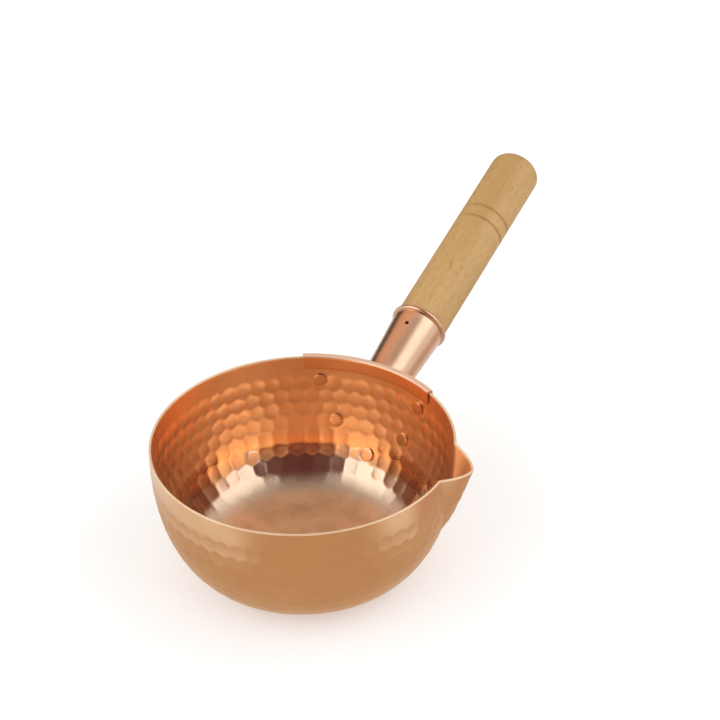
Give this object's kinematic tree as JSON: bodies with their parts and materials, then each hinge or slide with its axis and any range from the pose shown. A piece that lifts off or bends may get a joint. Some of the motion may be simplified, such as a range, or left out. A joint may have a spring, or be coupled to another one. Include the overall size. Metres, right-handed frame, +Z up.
{
  "type": "round-bottom copper saucepan",
  "caption": "Round-bottom copper saucepan with a small flat base, a side pouring spout and a turned wooden handle in a riveted copper socket.",
  "frame": {"origin": "centre of the bowl's flat base, on the surface that the pan stands on", "axes": "+Z up, +X out along the handle seen from above, the spout on the -Y side"},
  "size_m": [0.3281, 0.1615, 0.1142],
  "materials": {
    "bowl_copper": "hammered, bright",
    "fitting_copper": "satin",
    "rivet_copper": "satin",
    "wood": "bare, sanded",
    "nail_steel": "dark"
  },
  "bodies": {
    "root": {"bowl": "bowl_copper", "handle_bracket": "fitting_copper", "rivet_1": "rivet_copper", "rivet_2": "rivet_copper", "rivet_3": "rivet_copper", "rivet_4": "rivet_copper", "rivet_5": "rivet_copper", "socket": "fitting_copper", "wooden_handle": "wood", "handle_nail": "nail_steel"}
  },
  "joints": []
}
